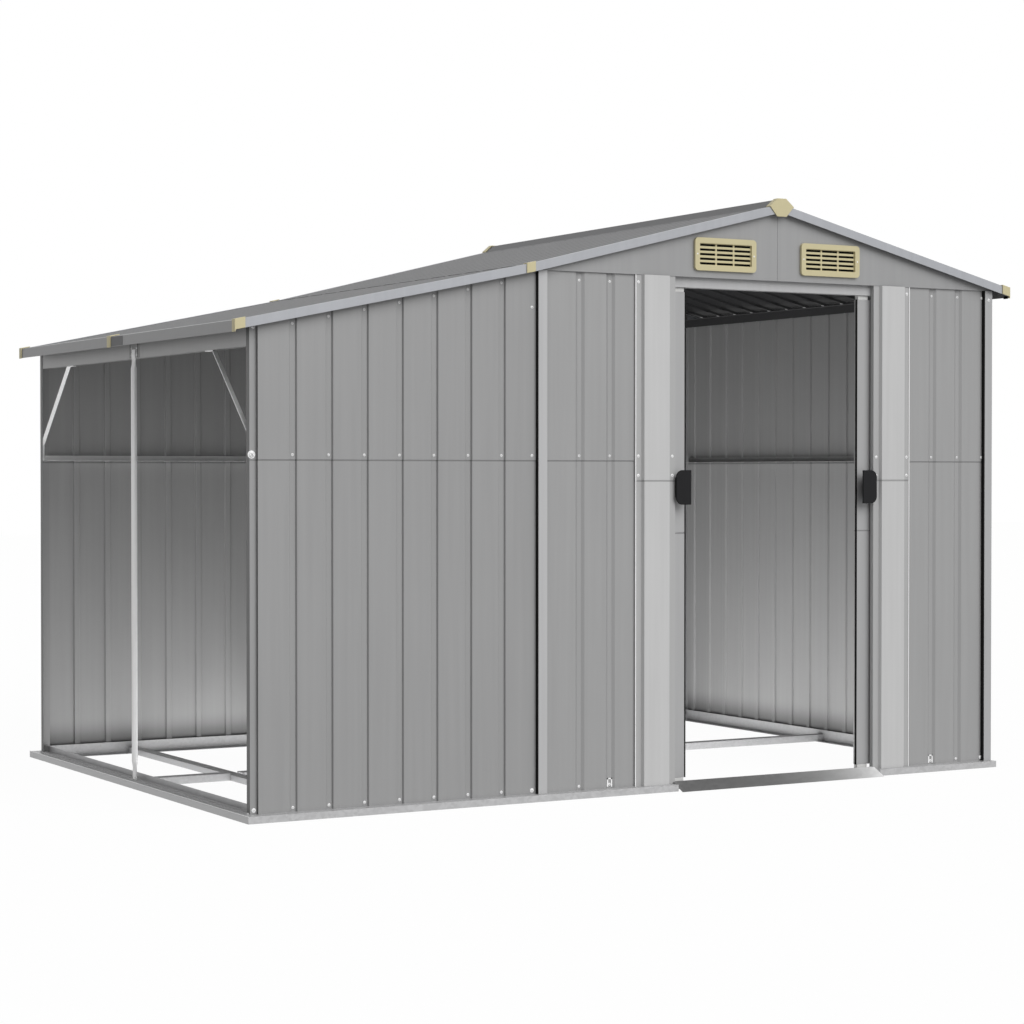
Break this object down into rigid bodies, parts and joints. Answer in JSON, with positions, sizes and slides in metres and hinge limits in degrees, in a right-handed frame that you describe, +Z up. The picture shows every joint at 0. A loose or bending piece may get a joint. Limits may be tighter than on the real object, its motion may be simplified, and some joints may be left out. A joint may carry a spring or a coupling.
{
  "type": "metal storage shed with open log bay",
  "caption": "Grey steel garden shed with a gable roof, sliding doors and an open log bay under the longer roof slope.",
  "frame": {"origin": "on the ground, in the middle of the overall box", "axes": "+X to the right along the front, +Y to the back, +Z up"},
  "size_m": [2.7496, 1.862, 1.8101],
  "materials": {
    "wall_steel": "satin",
    "roof_steel": "satin",
    "door_steel": "satin",
    "post_steel": "satin",
    "trim_steel": "satin",
    "galvanised_steel": "zinc",
    "cap_plastic": "moulded",
    "handle_plastic": "moulded",
    "slider_plastic": "moulded"
  },
  "bodies": {
    "shed": {"back_gable": "wall_steel", "back_wall": "wall_steel", "base_rail_back": "galvanised_steel", "base_rail_front": "galvanised_steel", "base_rail_left": "galvanised_steel", "base_rail_right": "galvanised_steel", "bay_back_wall": "wall_steel", "bay_braces": "galvanised_steel", "bay_edge_back": "post_steel", "bay_edge_front": "post_steel", "bay_front_wall": "wall_steel", "bay_header_beam": "galvanised_steel", "bay_post": "galvanised_steel", "bottom_track": "galvanised_steel", "divider_wall": "wall_steel", "door_ramp": "galvanised_steel", "eave_beams": "galvanised_steel", "eave_caps": "cap_plastic", "eave_trims": "trim_steel", "floor_cross_rail": "galvanised_steel", "floor_rails": "galvanised_steel", "front_gable": "wall_steel", "front_left_wall": "wall_steel", "front_right_wall": "wall_steel", "gable_vents": "cap_plastic", "header_track": "galvanised_steel", "joint_caps": "cap_plastic", "left_jamb": "door_steel", "mid_rails": "galvanised_steel", "post_back_divider": "post_steel", "post_back_right": "post_steel", "post_front_divider": "post_steel", "post_front_right": "post_steel", "ridge_capping": "trim_steel", "ridge_end_caps": "cap_plastic", "right_jamb": "door_steel", "right_wall": "wall_steel", "roof_bay": "roof_steel", "roof_beams": "galvanised_steel", "roof_left": "roof_steel", "roof_right": "roof_steel", "verge_trims_back": "trim_steel", "verge_trims_front": "trim_steel"},
    "left_door": {"left_door_leaf": "door_steel", "left_door_sliders": "slider_plastic", "left_door_handle": "handle_plastic"},
    "right_door": {"right_door_leaf": "door_steel", "right_door_sliders": "slider_plastic", "right_door_handle": "handle_plastic"}
  },
  "joints": [
    {"name": "left_door_slide", "type": "slide", "parent": "shed", "child": "left_door", "axis": [1, 0, 0], "range_m": [0, 0.3215]},
    {"name": "right_door_slide", "type": "slide", "parent": "shed", "child": "right_door", "axis": [-1, 0, 0], "range_m": [0, 0.3215]}
  ]
}
